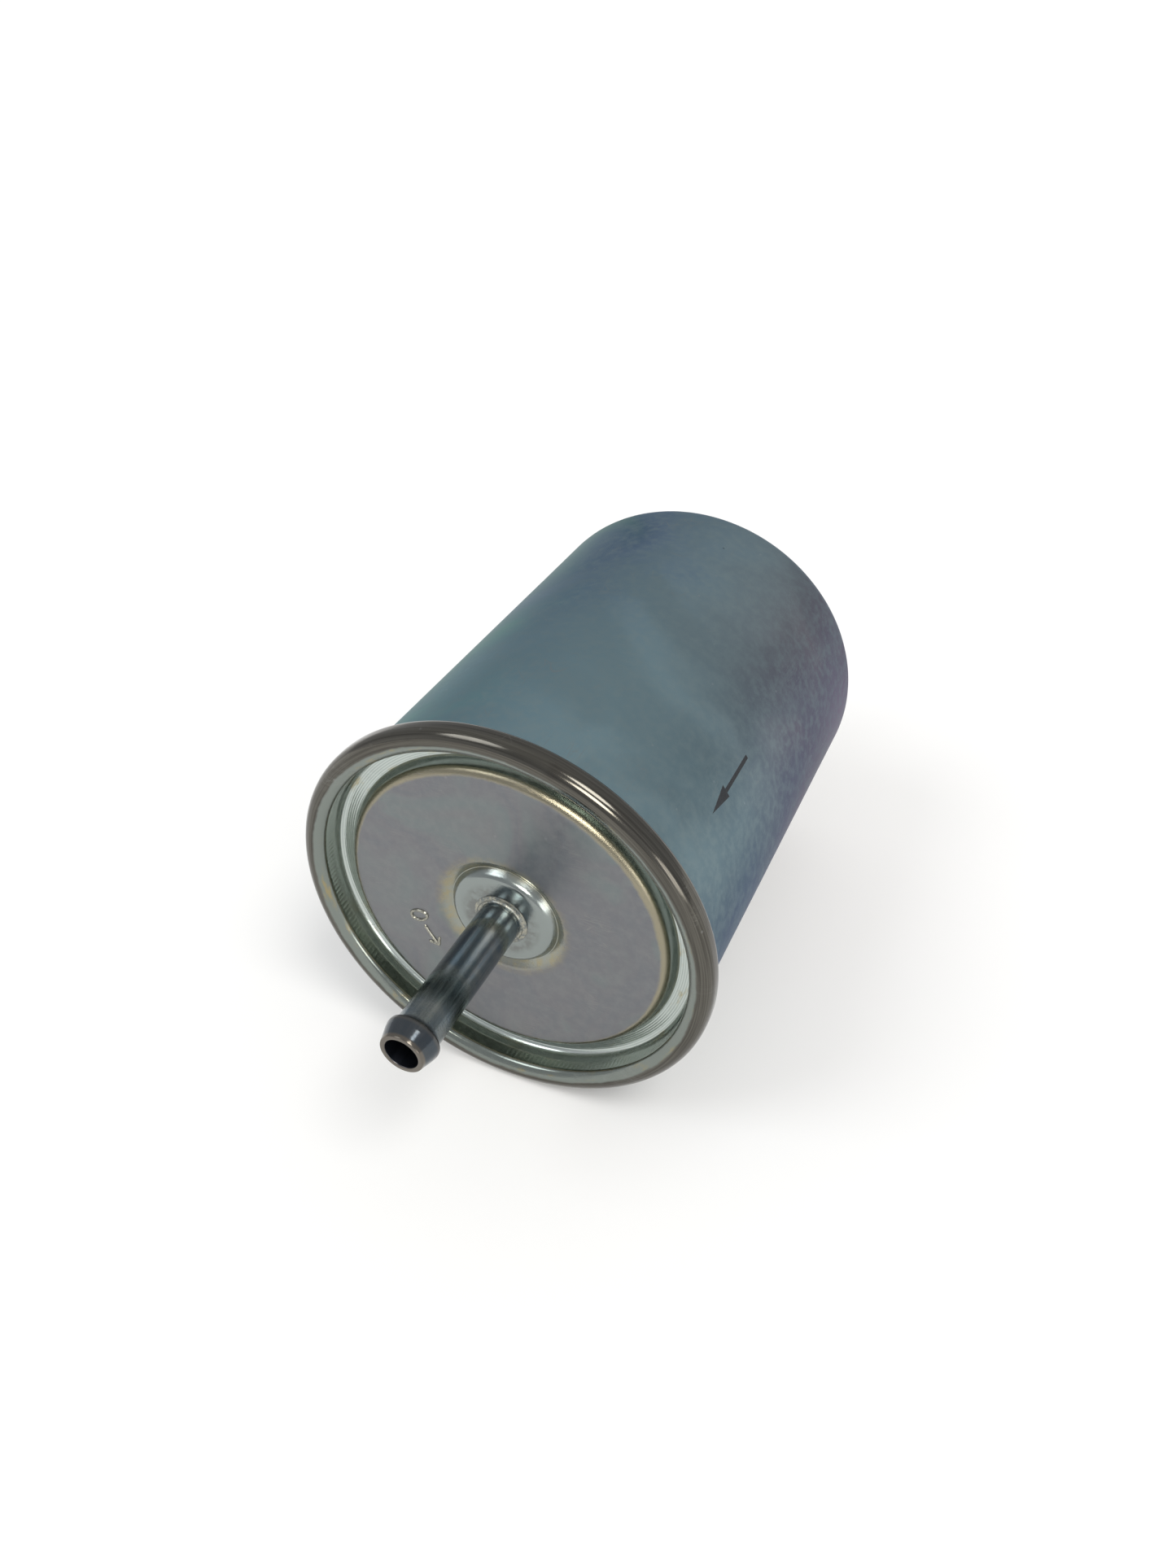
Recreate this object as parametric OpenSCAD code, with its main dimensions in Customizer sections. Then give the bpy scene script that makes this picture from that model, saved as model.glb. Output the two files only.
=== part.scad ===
// In-line fuel filter: a drawn steel can closed by a seamed end cover, with a straight beaded
// hose tube at each end and a spring-loaded pleated element inside.
// The filter lies on its side: the axis runs along Y, the outlet points to -Y, +Z is up.
// The origin is on the axis, halfway between the rim's top and the can's far face.
// Sections are drawn as [radius, height], where height grows towards the outlet tip.

/* [Can] */
// Outside diameter of the can wall, where the clamp strap sits
can_d = 74.2; // [62:0.1:90]
// Length from the rim's top to the can's far face
body_len = 100; // [92:1:130]
// Thickness of the can and cover sheet
sheet_t = 0.7; // [0.6:0.02:0.84]
// Outer radius of the can's far edge
far_edge_r = 5; // [3:0.5:8]

/* [Seam] */
// Height of the double seam
rim_h = 4.6; // [4.4:0.1:5.6]
// Outer radius of the seam's top edge
rim_top_r = 2.2; // [2.1:0.1:2.4]
// Gap between the folded layers, filled with compound
seam_gap = 0.26; // [0.2:0.02:0.3]

/* [End cover] */
// Depth of the flat panel below the rim's top
panel_depth = 3; // [2.5:0.1:4]
// Width of the countersink channel, from the panel's wall to the chuck wall
channel_w = 4.2; // [3.6:0.1:6]
// Depth of the countersink channel below the rim's top
channel_depth = 6.2; // [5.4:0.1:7]
// Radius of the raised boss around the tube
boss_r = 9.2; // [8:0.1:11]
// How far the boss stands above the panel
boss_rise = 0.6; // [0.3:0.1:1.2]
// Depth of the ring groove around the boss, below the panel
groove_depth = 1.3; // [0.8:0.1:1.6]

/* [Hose tubes] */
// Outside diameter of the tube, for an 8 mm hose
tube_d = 8; // [7.4:0.1:9.6]
// Bore of the tube
tube_bore = 6; // [5:0.1:6.6]
// Length of the outlet tube beyond the rim's top
outlet_reach = 30.4; // [24:0.2:40]
// Length of the inlet tube beyond the can's far face
inlet_reach = 30; // [24:0.2:40]
// How far the hose bead stands out of the tube
bead_rise = 0.8; // [0.5:0.05:1.2]
// Length from the bead's crest to the tip
bead_len = 3.3; // [2.6:0.1:4]

/* [Element] */
// Width of the flow gap between the element's caps and the can
flow_gap = 4.8; // [4.6:0.1:8]
// Inside diameter of the pleated pack
pack_bore = 28; // [26:0.2:32]
// Number of pleats
pleats = 48; // [36:1:52]
// Thickness of the filter paper
paper_t = 0.4; // [0.3:0.05:0.5]
// Outside diameter of the perforated centre tube
core_d = 26.4; // [24:0.2:26.6]
// Distance from the rim's top to the pleats' outlet end
pack_start = 12; // [11:0.5:14]
// Distance from the can's far face to the pleats' inlet end
pack_end = 20; // [19:0.5:26]
// How far the element can move against its spring
element_travel = 3; // [1:0.5:4]

/* [Spring] */
// Wire diameter of the element spring
wire_d = 1.5; // [1.2:0.1:1.8]
// Mean diameter of the spring's coils
coil_d = 22; // [20:0.5:24]
// Number of coils
coils = 4.5; // [4:0.5:5]

/* [Hidden] */
$fn = 96;
eps_cut = 1;
bend_steps = 8;
pack_gap = 0.1;
run_gap = 0.08;
seat_gap = 0.3;
snug_gap = 0.05;
braze_gap = 0.02;

can_r = can_d / 2;
tube_r = tube_d / 2;
bore_r = tube_bore / 2;
bead_r = tube_r + bead_rise;
half_t = sheet_t / 2;
rim_z = body_len / 2;
far_z = -body_len / 2;

// Radii of the seam's five layers, measured at mid-sheet
wall_r = can_r - half_t;
neck_in = 0.05;
neck_start_z = rim_z - 6.5;
neck_top_z = neck_start_z + 1;
chuck_r = can_r - neck_in - sheet_t - snug_gap - half_t;
cover_hook_r = can_r + seam_gap + half_t;
body_hook_r = cover_hook_r + sheet_t + seam_gap;
rim_wall_r = body_hook_r + sheet_t + seam_gap;
rim_r = rim_wall_r + half_t;
fold_r = (body_hook_r - wall_r + neck_in) / 2 - 0.01;
tuck_r = (rim_wall_r - cover_hook_r) / 2 - 0.01;
crest_z = rim_z - half_t;
rim_bend_r = rim_top_r - half_t;
rim_slope = 33;
rim_reach = rim_bend_r * tan((90 + rim_slope) / 2);
crest_corner_z = crest_z + rim_reach - rim_bend_r;
chuck_top_z = crest_corner_z - (rim_wall_r - chuck_r) * tan(rim_slope);
tuck_z = rim_z - rim_h + half_t;
arch_z = rim_z - 1.29 - half_t;
hook_end_z = arch_z - fold_r + 0.2;
body_hook_end_z = tuck_z + tuck_r + 0.04;

// Cover levels at mid-sheet
panel_z = rim_z - panel_depth - half_t;
channel_z = rim_z - channel_depth - half_t;
boss_z = panel_z + boss_rise;
groove_z = panel_z - groove_depth;
neck_r = tube_r + snug_gap + half_t;
neck_bend_r = 1.3;
neck_len = 3;
panel_wall_lean = 1.1;
panel_edge_r = chuck_r - channel_w - panel_wall_lean;
channel_bend_r = 1.7;

// Element levels
cap_t = 0.5;
cap_r = can_r - sheet_t - flow_gap;
pack_r = cap_r - 1;
cap_skirt = 5;
potting_h = 2;
pack_top = rim_z - pack_start;
pack_bottom = far_z + pack_end;
outlet_cap_z = pack_top + potting_h + cap_t / 2;
inlet_cap_z = pack_bottom - potting_h - cap_t / 2;
core_t = 0.6;
core_r = core_d / 2;
band_w = 5;
band_t = 0.35;
collar_r = 7.25;
collar_h = 2.6;
cup_r = 8.2;
cup_h = 2.4;

// Seal between the outlet tube and the element
seal_flange_r = 9;
seal_flange_t = 1.1;
neck_end_z = boss_z - neck_len + 0.35;
seal_top_z = neck_end_z - seat_gap;
seal_flange_z = seal_top_z - seal_flange_t;
seal_bottom_z = outlet_cap_z - 4.2;
tube_inner_z = seal_bottom_z - element_travel - 4;

// Inlet diffuser and spring seat
floor_z = far_z + sheet_t;
hat_t = 0.7;
hat_top_r = 15;
hat_foot_r = 19.5;
hat_h = 6.6;
hat_top_z = floor_z + hat_h;
windows = 8;
window_w = 6;
window_h = 3;
washer_t = 0.6;
washer_z = hat_top_z + snug_gap + washer_t / 2;
spring_low_z = washer_z + washer_t / 2 + snug_gap + wire_d / 2;
spring_high_z = inlet_cap_z - cap_t / 2 - snug_gap - wire_d / 2;
wire_sides = 8;
steps_per_coil = 20;
inlet_neck_z = floor_z + neck_len - sheet_t;
inlet_inner_z = inlet_neck_z + 0.4;

// Guide ring round the inlet cap
guide_t = 1.2;
guide_h = 4;
fins = 6;
fin_w = 3;
fin_reach = can_r - sheet_t - seat_gap;

can_shell();
end_cover();
seam_compound();
outlet_tube();
inlet_tube();
outlet_braze();
inlet_braze();
outlet_end_cap();
inlet_end_cap();
outlet_potting();
inlet_potting();
pleated_media();
pleat_bands();
centre_tube();
outlet_seal();
seal_retainer();
element_guide();
element_spring();
spring_seat();
inlet_diffuser();

// Points of one face of a bent sheet: p are the mid-sheet corners, r the bend radii,
// and off is the distance of the face from mid-sheet, positive on the left
function unit(v) = v / norm(v);
function left_of(v) = [-v[1], v[0]];
function turned(v, a) = [v[0] * cos(a) - v[1] * sin(a), v[0] * sin(a) + v[1] * cos(a)];
function turn(a, b) = atan2(a[0] * b[1] - a[1] * b[0], a[0] * b[0] + a[1] * b[1]);
function bend(p, a, b, r, off) =
    let (t = turn(a, b), s = sign(t), reach = r * tan(abs(t) / 2),
         c = p - a * reach + left_of(a) * s * r)
    [for (k = [0:bend_steps]) c - turned(left_of(a), t * k / bend_steps) * s * (r - s * off)];
function face_line(p, r, off) =
    let (last = len(p) - 1)
    [for (i = [0:last]) each
        i == 0 ? [p[0] + left_of(unit(p[1] - p[0])) * off]
        : i == last ? [p[last] + left_of(unit(p[last] - p[last - 1])) * off]
        : bend(p[i], unit(p[i] - p[i - 1]), unit(p[i + 1] - p[i]), r[i], off)];
function backwards(v) = [for (i = [len(v) - 1:-1:0]) v[i]];
function sheet(p, r, t) = concat(face_line(p, r, t / 2), backwards(face_line(p, r, -t / 2)));

// Turns a [radius, height] section about the filter's axis
module turned_piece(section) {
    rotate([90, 0, 0])
        rotate_extrude()
            polygon(section);
}

// A plain ring between two radii and two heights
module ring(inner, outer, low, high) {
    rotate([90, 0, 0])
        translate([0, 0, low])
            difference() {
                cylinder(r = outer, h = high - low);
                translate([0, 0, -eps_cut])
                    cylinder(r = inner, h = high - low + 2 * eps_cut);
            }
}

// Deep-drawn can: plunged inlet neck, ring groove, far floor, wall and body hook
module can_shell() {
    low = far_z + half_t;
    groove = low + groove_depth + 0.15;
    color([0.36, 0.43, 0.48])
        turned_piece(sheet(
            [[neck_r, inlet_neck_z], [neck_r, low], [boss_r, low], [boss_r + 1.1, groove],
             [boss_r + 2.8, low], [wall_r, low], [wall_r, neck_start_z],
             [wall_r - neck_in, neck_top_z], [wall_r - neck_in, arch_z], [body_hook_r, arch_z],
             [body_hook_r, body_hook_end_z]],
            [0, neck_bend_r, 0.7, 0.6, 0.9, far_edge_r - half_t, 1, 1, fold_r, fold_r, 0],
            sheet_t));
}

// Pressed end cover: plunged neck, boss, groove, panel, channel, chuck wall and cover hook
module end_cover() {
    color([0.45, 0.45, 0.48])
        turned_piece(sheet(
            [[neck_r, neck_end_z], [neck_r, boss_z], [boss_r, boss_z],
             [boss_r + 1.1, groove_z], [boss_r + 3.1, panel_z], [panel_edge_r, panel_z],
             [panel_edge_r + panel_wall_lean, channel_z], [chuck_r, channel_z],
             [chuck_r, chuck_top_z], [rim_wall_r, crest_corner_z],
             [rim_wall_r, tuck_z], [cover_hook_r, tuck_z], [cover_hook_r, hook_end_z]],
            [0, neck_bend_r, 0.7, 0.6, 1.2, 1.1, 1, channel_bend_r, 0.8,
             rim_bend_r, tuck_r, tuck_r, 0],
            sheet_t));
}

// Bead of sealing compound in the seam's tuck, under the body hook
module seam_compound() {
    half_w = 0.28;
    color([0.2, 0.2, 0.2])
        ring(body_hook_r - half_w, body_hook_r + half_w,
             body_hook_end_z - pack_gap - 0.32, body_hook_end_z - pack_gap);
}

// Straight hose tube from an inner end to a beaded tip
module hose_tube(inner_z, tip_z) {
    crest = tip_z - bead_len;
    land = 0.5;
    step = 0.35;
    tip_r = tube_r - 0.1;
    lip = 0.25;
    turned_piece([
        [bore_r, inner_z], [tube_r, inner_z], [tube_r, crest - land - step],
        [bead_r - 0.1, crest - land - 0.1], [bead_r, crest - land], [bead_r, crest],
        [bead_r - 0.12, crest + 0.6], [tip_r + 0.25, tip_z - 0.9],
        [tip_r, tip_z - lip], [tip_r - lip, tip_z], [bore_r, tip_z]]);
}

module outlet_tube() {
    color([0.16, 0.18, 0.21])
        hose_tube(tube_inner_z, rim_z + outlet_reach);
}

module inlet_tube() {
    color([0.16, 0.18, 0.21])
        mirror([0, 1, 0])
            hose_tube(-inlet_inner_z, -far_z + inlet_reach);
}

// Braze fillet in the groove between a tube and its plunged neck; top is the neck's mid-sheet level
module braze_fillet(top) {
    inner = tube_r + braze_gap;
    arc_r = neck_bend_r + half_t + braze_gap;
    mid = [neck_r + neck_bend_r, top - neck_bend_r];
    foot = 107;
    head = 158;
    groove = [for (k = [0:bend_steps])
        let (a = foot + (head - foot) * k / bend_steps) mid + arc_r * [cos(a), sin(a)]];
    lip = top + half_t + 0.5;
    turned_piece(concat(
        [[inner, groove[bend_steps][1]], [inner, lip], [inner + 0.3, lip],
         [inner + 0.5, lip - 0.22], [inner + 0.95, top + half_t + 0.08]],
        groove));
}

module outlet_braze() {
    color([0.5, 0.47, 0.4])
        braze_fillet(boss_z);
}

module inlet_braze() {
    color([0.5, 0.47, 0.4])
        mirror([0, 1, 0])
            braze_fillet(-far_z - half_t);
}

// Outlet end cap: a dished steel disc with a collar for the seal
module outlet_end_cap() {
    color([0.62, 0.63, 0.62])
        turned_piece(sheet(
            [[collar_r, outlet_cap_z + collar_h], [collar_r, outlet_cap_z],
             [cap_r - cap_t / 2, outlet_cap_z], [cap_r - cap_t / 2, outlet_cap_z - cap_skirt]],
            [0, 0.7, 0.8, 0],
            cap_t));
}

// Inlet end cap: a closed dished disc with a cup that centres the spring
module inlet_end_cap() {
    color([0.62, 0.63, 0.62])
        turned_piece(sheet(
            [[0, inlet_cap_z - cup_h], [cup_r - 0.8, inlet_cap_z - cup_h], [cup_r, inlet_cap_z],
             [cap_r - cap_t / 2, inlet_cap_z], [cap_r - cap_t / 2, inlet_cap_z + cap_skirt]],
            [0, 0.8, 0.8, 0.8, 0],
            cap_t));
}

// Disc of potting between a cap and the pleats; cap_side is +1 where the cap lies outwards
module potting(face, cap_side) {
    inner = core_r - core_t - 1;
    outer = cap_r - cap_t - pack_gap;
    edge = 0.6;
    turned_piece([
        [inner, face], [outer, face], [outer, face + cap_side * (potting_h - edge)],
        [outer - edge, face + cap_side * potting_h], [inner, face + cap_side * potting_h]]);
}

module outlet_potting() {
    color([0.75, 0.35, 0.2])
        potting(pack_top, 1);
}

module inlet_potting() {
    color([0.75, 0.35, 0.2])
        potting(pack_bottom, -1);
}

// Pleated paper: a folded sheet of constant thickness with flat-topped pleats
module pleated_media() {
    outer = pack_r;
    inner = pack_bore / 2;
    pitch = 360 / pleats;
    crest_half = 0.75;
    valley_half = 0.16;
    crest_out = crest_half / outer * 180 / PI;
    crest_in = (crest_half - paper_t) / outer * 180 / PI;
    valley_out = valley_half / inner * 180 / PI;
    valley_in = (valley_half + paper_t) / inner * 180 / PI;
    outside = [for (i = [0:pleats - 1]) each
        let (a = i * pitch, b = a + pitch / 2)
        [outer * [cos(a - crest_out), sin(a - crest_out)],
         outer * [cos(a + crest_out), sin(a + crest_out)],
         (inner + paper_t) * [cos(b - valley_out), sin(b - valley_out)],
         (inner + paper_t) * [cos(b + valley_out), sin(b + valley_out)]]];
    inside = [for (i = [0:pleats - 1]) each
        let (a = i * pitch, b = a + pitch / 2)
        [(outer - paper_t) * [cos(a - crest_in), sin(a - crest_in)],
         (outer - paper_t) * [cos(a + crest_in), sin(a + crest_in)],
         inner * [cos(b - valley_in), sin(b - valley_in)],
         inner * [cos(b + valley_in), sin(b + valley_in)]]];
    color([0.86, 0.8, 0.62])
        rotate([90, 0, 0])
            translate([0, 0, pack_bottom])
                linear_extrude(pack_top - pack_bottom)
                    difference() {
                        polygon(outside);
                        polygon(inside);
                    }
}

// Three paper bands that hold the pleats at an even pitch
module pleat_bands() {
    inner = pack_r + pack_gap;
    span = pack_top - pack_bottom;
    color([0.8, 0.78, 0.7])
        for (k = [1:3])
            ring(inner, inner + band_t, pack_bottom + span * k / 4 - band_w / 2,
                 pack_bottom + span * k / 4 + band_w / 2);
}

// Perforated steel tube that carries the pleats against the flow
module centre_tube() {
    rows = 8;
    around = 9;
    hole_r = 1.8;
    span = pack_top - pack_bottom;
    color([0.6, 0.61, 0.6])
        difference() {
            ring(core_r - core_t, core_r, pack_bottom, pack_top);
            for (i = [0:rows - 1])
                for (j = [0:around - 1])
                    rotate([0, (j + (i % 2) / 2) * 360 / around, 0])
                        translate([0, -(pack_bottom + span * (i + 0.5) / rows), core_r - 3])
                            cylinder(r = hole_r, h = 3 + eps_cut);
        }
}

// Rubber bush that seals the element to the outlet tube
module outlet_seal() {
    body_r = collar_r - cap_t / 2 - pack_gap;
    color([0.1, 0.1, 0.1])
        turned_piece([
            [tube_r + run_gap, seal_bottom_z + 0.5], [tube_r + run_gap + 0.5, seal_bottom_z],
            [body_r - 0.6, seal_bottom_z], [body_r, seal_bottom_z + 0.6],
            [body_r, seal_flange_z], [seal_flange_r, seal_flange_z],
            [seal_flange_r, seal_top_z - 0.3], [seal_flange_r - 0.3, seal_top_z],
            [tube_r + run_gap + 0.4, seal_top_z], [tube_r + run_gap, seal_top_z - 0.4]]);
}

// Steel washer that backs the seal's flange on the cap's collar
module seal_retainer() {
    color([0.66, 0.66, 0.64])
        ring(collar_r + cap_t / 2 + pack_gap, seal_flange_r + 1.5,
             seal_flange_z - 0.7, seal_flange_z - pack_gap);
}

// Plastic ring with fins that keeps the element central in the can
module element_guide() {
    low = inlet_cap_z + 0.5;
    color([0.85, 0.85, 0.8])
        difference() {
            union() {
                ring(cap_r + pack_gap, cap_r + pack_gap + guide_t, low, low + guide_h);
                for (i = [0:fins - 1])
                    rotate([0, i * 360 / fins + 360 / fins / 2, 0])
                        translate([cap_r + pack_gap + guide_t / 2, -low - guide_h, -fin_w / 2])
                            cube([fin_reach - cap_r - pack_gap - guide_t / 2, guide_h, fin_w]);
            }
            ring(fin_reach, can_r, low - eps_cut, low + guide_h + eps_cut);
        }
}

// Height of the spring's wire after t coils: close-wound ends, open middle
function coil_height(t) =
    let (closed = wire_d + 0.1, free = spring_high_z - spring_low_z - 2 * closed)
    spring_low_z + (t < 1 ? closed * t
        : t > coils - 1 ? closed + free + closed * (t - coils + 1)
        : closed + free * (t - 1) / (coils - 2));

// Compression spring: a round wire swept along a helix
module element_spring() {
    rings = floor(coils * steps_per_coil);
    points = [for (i = [0:rings]) each
        let (t = i / steps_per_coil, a = 360 * t)
        [for (j = [0:wire_sides - 1])
            let (b = 360 * j / wire_sides, r = coil_d / 2 + wire_d / 2 * cos(b))
            [r * cos(a), r * sin(a), coil_height(t) + wire_d / 2 * sin(b)]]];
    sides = [for (i = [0:rings - 1]) each [for (j = [0:wire_sides - 1])
        let (k = (j + 1) % wire_sides)
        [i * wire_sides + j, i * wire_sides + k,
         (i + 1) * wire_sides + k, (i + 1) * wire_sides + j]]];
    start = [for (j = [wire_sides - 1:-1:0]) j];
    end = [for (j = [0:wire_sides - 1]) rings * wire_sides + j];
    color([0.5, 0.5, 0.5])
        rotate([90, 0, 0])
            polyhedron(points = points, faces = concat([start], [for (f = sides) backwards(f)], [end]));
}

// Dished washer that centres the spring on the diffuser
module spring_seat() {
    outer = (coil_d + wire_d) / 2 + 0.9;
    color([0.66, 0.66, 0.64])
        turned_piece(sheet(
            [[coil_d / 2 - wire_d - 1.5, washer_z], [outer, washer_z], [outer, washer_z + 1.6]],
            [0, 0.5, 0],
            washer_t));
}

// Windowed hat over the inlet that turns the flow outwards and carries the spring
module inlet_diffuser() {
    top = hat_top_z - hat_t / 2;
    foot = floor_z + snug_gap + hat_t / 2;
    color([0.6, 0.61, 0.6])
        difference() {
            turned_piece(sheet(
                [[0, top], [hat_top_r, top], [hat_top_r + 1, foot], [hat_foot_r, foot]],
                [0, 1, 0.8, 0],
                hat_t));
            for (i = [0:windows / 2 - 1])
                rotate([0, i * 360 / windows, 0])
                    translate([-hat_foot_r, -(foot + 1.6 + window_h), -window_w / 2])
                        cube([2 * hat_foot_r, window_h, window_w]);
        }
}
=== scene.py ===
# Fuel filter: turned sheet-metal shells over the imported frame, with plated-steel finishes
import math
import bpy
import numpy as np
from mathutils import Matrix, Vector


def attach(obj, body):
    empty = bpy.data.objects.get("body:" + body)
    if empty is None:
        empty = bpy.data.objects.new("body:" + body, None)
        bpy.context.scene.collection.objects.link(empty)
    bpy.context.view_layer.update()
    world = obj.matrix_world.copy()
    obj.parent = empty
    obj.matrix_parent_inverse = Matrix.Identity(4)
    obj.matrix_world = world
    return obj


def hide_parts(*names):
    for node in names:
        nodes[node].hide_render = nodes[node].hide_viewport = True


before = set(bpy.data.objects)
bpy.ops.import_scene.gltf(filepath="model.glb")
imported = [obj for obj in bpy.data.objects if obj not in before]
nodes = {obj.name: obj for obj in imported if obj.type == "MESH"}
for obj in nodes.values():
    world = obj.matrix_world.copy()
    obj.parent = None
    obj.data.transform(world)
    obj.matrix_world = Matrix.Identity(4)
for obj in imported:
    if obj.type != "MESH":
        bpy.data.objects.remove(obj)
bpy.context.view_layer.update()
mm = 0.001

# Levels are in mm along the axis, growing towards the outlet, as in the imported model
can = {
    "wallRadius": 36.75,      # mid-sheet, as the other radii here
    "neckedRadius": 36.7,
    "hookRadius": 38.67,
    "hookTop": 48.36,
    "sheet": 0.7,
    "farFace": -49.65,        # mid-sheet
    "farBend": 4.65,
    "segments": 384,
    "bendSteps": 10,
    "warp": 0.018,            # how far the drawn wall strays from round
}
cover = {
    "sheet": 0.7,
    "panel": 46.65,
    "boss": 47.25,
    "groove": 45.35,
    "channel": 43.45,
    "chuckRadius": 35.95,     # mid-sheet
    "chuckFace": 35.6,
    "rimWall": 39.63,
    "hookRadius": 37.71,
    "tuck": 45.75,
    "bendSteps": 6,
    "teeth": 240,             # knurl teeth round the chuck wall
    "toothDepth": 0.08,
    "toothSides": 3,          # mesh columns to a tooth
    "hiddenSteps": 2,         # the face inside the can needs few bend steps
    "toothLow": 46.3,
    "toothHigh": 48.2,
}
tube = {
    "radius": 4.0,
    "bore": 3.0,
    "bead": 4.8,
    "tip": 3.9,
    "beadLength": 3.3,
    "segments": 160,
}


def sheetFaces(corners, bends, thick, steps):
    # both faces of a bent sheet: mid-sheet corners rounded by arcs, moved half a thickness to each side
    p = np.array(corners, float)
    faces = ([], [])
    for i in range(len(p)):
        if i in (0, len(p) - 1):
            d = (p[1] - p[0]) if i == 0 else (p[-1] - p[-2])
            d = d / np.hypot(*d)
            normal = np.array([-d[1], d[0]])
            for face, off in zip(faces, (thick / 2, -thick / 2)):
                face.append((p[i] + normal * off)[None])
            continue
        a, b = p[i] - p[i - 1], p[i + 1] - p[i]
        a, b = a / np.hypot(*a), b / np.hypot(*b)
        turn = math.atan2(a[0] * b[1] - a[1] * b[0], a @ b)
        side = math.copysign(1, turn)
        left = np.array([-a[1], a[0]])
        centre = p[i] - a * bends[i] * math.tan(abs(turn) / 2) + left * side * bends[i]
        t = np.linspace(0, turn, max(3, int(steps * abs(turn) / 1.57) + 2))
        spoke = np.stack([left[0] * np.cos(t) - left[1] * np.sin(t),
                          left[0] * np.sin(t) + left[1] * np.cos(t)], 1)
        for face, off in zip(faces, (thick / 2, -thick / 2)):
            face.append(centre - spoke * side * (bends[i] - side * off))
    return [np.concatenate(face) for face in faces]


def roundedLoop(corners, bends, steps):
    # a closed outline whose corners are arcs tangent to both edges
    p = np.array(corners, float)
    out = []
    for i in range(len(p)):
        a, b = p[i] - p[i - 1], p[(i + 1) % len(p)] - p[i]
        a, b = a / np.hypot(*a), b / np.hypot(*b)
        turn = math.atan2(a[0] * b[1] - a[1] * b[0], a @ b)
        if bends[i] == 0 or abs(turn) < 0.01:
            out.append(p[i][None])
            continue
        side = math.copysign(1, turn)
        left = np.array([-a[1], a[0]])
        centre = p[i] - a * bends[i] * math.tan(abs(turn) / 2) + left * side * bends[i]
        t = np.linspace(0, turn, steps)
        spoke = np.stack([left[0] * np.cos(t) - left[1] * np.sin(t),
                          left[0] * np.sin(t) + left[1] * np.cos(t)], 1)
        out.append(centre - spoke * side * bends[i])
    return np.concatenate(out)


def splitLong(line, longest):
    # adds points so that no step of the line is longer than the given length
    out = [line[:1]]
    for a, b in zip(line[:-1], line[1:]):
        n = max(1, int(math.ceil(np.hypot(*(b - a)) / longest)))
        t = np.linspace(0, 1, n + 1)[1:, None]
        out.append(a + (b - a) * t)
    return np.concatenate(out)


def meshPiece(name, verts, faces, material, body, sharp=35):
    mesh = bpy.data.meshes.new(name)
    mesh.from_pydata(verts.reshape(-1, 3).tolist(), [], faces.tolist())
    mesh.validate()
    mesh.shade_smooth()
    mesh.set_sharp_from_angle(angle=math.radians(sharp))
    piece = bpy.data.objects.new(name, mesh)
    bpy.context.scene.collection.objects.link(piece)
    mesh.materials.append(material)
    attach(piece, body)
    return piece


def turnedGrid(loop, segments, reshape=None):
    # a closed outline turned about the axis: (r cos a, -h, r sin a), closed both ways
    a = np.arange(segments) * 2 * math.pi / segments
    r = np.repeat(loop[:, 0][:, None], segments, 1)
    h = np.repeat(loop[:, 1][:, None], segments, 1)
    if reshape is not None:
        r, h = reshape(r, h, np.repeat(a[None], len(loop), 0))
    verts = np.stack([r * np.cos(a), -h, r * np.sin(a)], -1) * mm
    i, j = np.meshgrid(np.arange(len(loop)), np.arange(segments), indexing="ij")
    i2, j2 = (i + 1) % len(loop), (j + 1) % segments
    faces = np.stack([i * segments + j, i * segments + j2, i2 * segments + j2, i2 * segments + j], -1).reshape(-1, 4)
    # the signed volume says which way the faces point
    v = verts.reshape(-1, 3)
    q = v[faces]
    volume = np.einsum("ij,ij->i", q[:, 0], np.cross(q[:, 1], q[:, 2]) + np.cross(q[:, 2], q[:, 3])).sum()
    return verts, (faces if volume > 0 else faces[:, ::-1])


def ridge(points, width, height, base, steps=9):
    # a low rounded ridge along a line on the panel: half-ellipse section, tapered into the sheet at both ends
    p = np.array(points, float)
    closed = np.hypot(*(p[0] - p[-1])) < 1e-6
    along = np.gradient(p, axis=0)
    if closed:
        along[0] = along[-1] = p[1] - p[-2]
    along /= np.hypot(along[:, 0], along[:, 1])[:, None]
    across = np.stack([-along[:, 1], along[:, 0]], 1)
    t = np.linspace(0, 1, len(p))
    taper = np.ones(len(p)) if closed else np.clip(np.minimum(t, 1 - t) * len(p) / 2, 0.05, 1) ** 0.5
    b = np.linspace(0, math.pi, steps)
    flat = p[:, None] + across[:, None] * (np.cos(b)[None, :, None] * width / 2 * taper[:, None, None])
    rise = base + np.sin(b)[None] * height * taper[:, None] - 0.02
    verts = np.stack([flat[..., 0], -rise, flat[..., 1]], -1) * mm
    n, m = len(p), steps
    i, j = np.meshgrid(np.arange(n - 1), np.arange(m - 1), indexing="ij")
    faces = np.stack([i * m + j, (i + 1) * m + j, (i + 1) * m + j + 1, i * m + j + 1], -1).reshape(-1, 4)
    floor = np.stack([np.arange(n - 1) * m, np.arange(n - 1) * m + m - 1,
                      np.arange(1, n) * m + m - 1, np.arange(1, n) * m], -1)
    return verts.reshape(-1, 3), np.concatenate([faces, floor])


def newGroup(name, inputs, outputs):
    g = bpy.data.node_groups.new(name, "ShaderNodeTree")
    for label, kind, value in inputs:
        s = g.interface.new_socket(label, in_out="INPUT", socket_type=kind)
        if value is not None:
            s.default_value = value
    for label, kind in outputs:
        g.interface.new_socket(label, in_out="OUTPUT", socket_type=kind)
    return g, g.nodes.new("NodeGroupInput"), g.nodes.new("NodeGroupOutput")


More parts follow.
